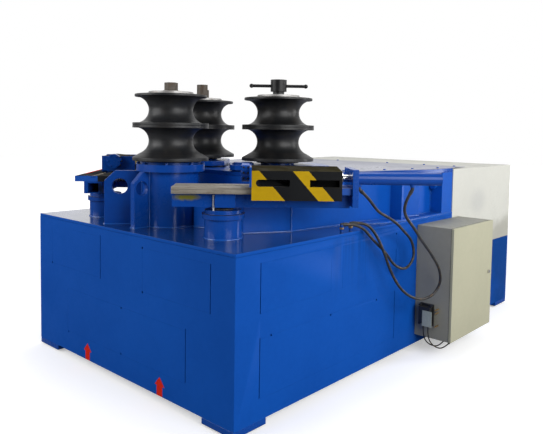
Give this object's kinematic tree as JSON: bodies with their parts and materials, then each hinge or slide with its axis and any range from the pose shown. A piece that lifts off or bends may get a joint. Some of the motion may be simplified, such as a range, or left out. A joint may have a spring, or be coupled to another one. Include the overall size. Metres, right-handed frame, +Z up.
{
  "type": "hydraulic pipe bender",
  "caption": "Floor-standing hydraulic three-roll pipe bender with upright grooved rollers on swing arms, angled guide slides, sheet hood and side cabinet.",
  "frame": {"origin": "on the floor under the middle of the base box", "axes": "+X to the cabinet side, +Y to the back with the hood, +Z up; the rollers are at the -Y end"},
  "size_m": [3.2128, 3.7109, 2.005],
  "materials": {
    "blue_paint": "gloss",
    "deck_paint": "gloss",
    "off_white_paint": "satin",
    "cover_sheet": "gloss",
    "cabinet_paint": "satin",
    "cabinet_case_paint": "satin",
    "oiled_steel": "oiled",
    "washer_steel": "bright",
    "rusty_steel": "brown",
    "machined_steel": "machined",
    "bright_steel": "polished",
    "black_paint": "satin",
    "hazard_paint": "satin",
    "screw_paint": "gloss",
    "brass": "satin",
    "hose_rubber": "matt",
    "tank_paint": "satin",
    "grey_plastic": "matt",
    "gear_plastic": "matt"
  },
  "bodies": {
    "machine": {"base_frame": "blue_paint", "base_feet": "blue_paint", "end_panels": "blue_paint", "side_panels": "blue_paint", "deck_plate": "deck_paint", "rear_hood": "off_white_paint", "body_walls": "blue_paint", "body_top_plate": "blue_paint", "top_cover": "cover_sheet", "cover_screws": "screw_paint", "main_housing": "blue_paint", "lifting_lugs": "blue_paint", "main_drive": "tank_paint", "arm_pins": "blue_paint", "guide_beams": "blue_paint", "slide_plates": "machined_steel", "support_posts": "blue_paint", "jack_screws": "rusty_steel", "guide_barrels": "blue_paint", "hydraulic_tank": "tank_paint", "pump_motor": "tank_paint", "valve_block": "machined_steel", "hose_fittings": "brass", "rod_side_hose": "hose_rubber", "cap_side_hose": "hose_rubber", "cabinet_case": "cabinet_case_paint", "control_gear": "gear_plastic", "cabinet_connector": "grey_plastic", "first_lead": "hose_rubber", "second_lead": "hose_rubber"},
    "main_roller": {"main_spindle": "oiled_steel", "main_lower_die": "oiled_steel", "main_upper_die": "oiled_steel", "main_washer": "washer_steel", "main_nut": "rusty_steel"},
    "right_roller": {"right_spindle": "oiled_steel", "right_lower_die": "oiled_steel", "right_upper_die": "oiled_steel", "right_washer": "washer_steel"},
    "left_roller": {"left_spindle": "oiled_steel", "left_lower_die": "oiled_steel", "left_upper_die": "oiled_steel", "left_washer": "washer_steel", "left_nut": "rusty_steel"},
    "clamp_nut": {"right_nut": "black_paint"},
    "nut_bar": {"t_bar": "black_paint"},
    "right_swing_arm": {"right_arm": "blue_paint"},
    "left_swing_arm": {"left_arm": "blue_paint"},
    "right_arm_cylinder": {"right_arm_barrel": "blue_paint"},
    "left_arm_cylinder": {"left_arm_barrel": "blue_paint"},
    "right_arm_ram": {"right_arm_rod": "bright_steel"},
    "left_arm_ram": {"left_arm_rod": "bright_steel"},
    "right_slide": {"right_carriage": "blue_paint", "right_cover": "hazard_paint", "right_rod": "bright_steel"},
    "left_slide": {"left_carriage": "blue_paint", "left_cover": "hazard_paint", "left_rod": "bright_steel"},
    "door": {"cabinet_door": "cabinet_paint"},
    "lock": {"door_lock": "bright_steel"}
  },
  "joints": [
    {"name": "main_spin", "type": "hinge", "parent": "machine", "child": "main_roller", "pos_m": [0, -1.447, 1.66], "axis": [0, 0, 1], "continuous": true},
    {"name": "right_arm_swing", "type": "hinge", "parent": "machine", "child": "right_swing_arm", "pos_m": [0.31403, -1.0657, 1.39], "axis": [0, 0, -1], "range_deg": [0, 30]},
    {"name": "left_arm_swing", "type": "hinge", "parent": "machine", "child": "left_swing_arm", "pos_m": [-0.31403, -1.0657, 1.39], "axis": [0, 0, 1], "range_deg": [0, 30]},
    {"name": "right_spin", "type": "hinge", "parent": "right_swing_arm", "child": "right_roller", "pos_m": [0.407, -0.813, 1.66], "axis": [0, 0, 1], "continuous": true},
    {"name": "left_spin", "type": "hinge", "parent": "left_swing_arm", "child": "left_roller", "pos_m": [-0.407, -0.813, 1.66], "axis": [0, 0, 1], "continuous": true},
    {"name": "clamp_nut_turn", "type": "hinge", "parent": "right_roller", "child": "clamp_nut", "pos_m": [0.407, -0.813, 1.9], "axis": [0, 0, 1], "continuous": true},
    {"name": "nut_bar_slide", "type": "slide", "parent": "clamp_nut", "child": "nut_bar", "axis": [0.7431, 0.6691, 0], "range_m": [-0.115, 0.115]},
    {"name": "right_cylinder_swing", "type": "hinge", "parent": "machine", "child": "right_arm_cylinder", "pos_m": [0.56, 0.42, 1.17], "axis": [0, 0, 1], "range_deg": [0, 11.94]},
    {"name": "left_cylinder_swing", "type": "hinge", "parent": "machine", "child": "left_arm_cylinder", "pos_m": [-0.56, 0.42, 1.17], "axis": [0, 0, -1], "range_deg": [0, 11.94]},
    {"name": "right_ram_slide", "type": "slide", "parent": "right_arm_cylinder", "child": "right_arm_ram", "axis": [-0.133, -0.9911, 0], "range_m": [0, 0.09539]},
    {"name": "left_ram_slide", "type": "slide", "parent": "left_arm_cylinder", "child": "left_arm_ram", "axis": [0.133, -0.9911, 0], "range_m": [0, 0.09539]},
    {"name": "right_guide_slide", "type": "slide", "parent": "machine", "child": "right_slide", "axis": [-0.7071, -0.7071, 0], "range_m": [0, 0.3]},
    {"name": "left_guide_slide", "type": "slide", "parent": "machine", "child": "left_slide", "axis": [0.7071, -0.7071, 0], "range_m": [0, 0.3]},
    {"name": "door_hinge", "type": "hinge", "parent": "machine", "child": "door", "pos_m": [1.354, 0.05, 0.539], "axis": [0, 0, -1], "range_deg": [0, 110]},
    {"name": "lock_turn", "type": "hinge", "parent": "door", "child": "lock", "pos_m": [1.345, 0.681, 0.552], "axis": [1, 0, 0], "range_deg": [0, 90]}
  ],
  "couplings": [
    {"joint": "right_spin", "follows": "main_spin", "ratio": -1},
    {"joint": "left_spin", "follows": "main_spin", "ratio": -1},
    {"joint": "right_cylinder_swing", "follows": "right_arm_swing", "ratio": 0.3975},
    {"joint": "left_cylinder_swing", "follows": "left_arm_swing", "ratio": 0.3975},
    {"joint": "right_ram_slide", "follows": "right_arm_swing", "m_per_rad": 0.182},
    {"joint": "left_ram_slide", "follows": "left_arm_swing", "m_per_rad": 0.182}
  ]
}
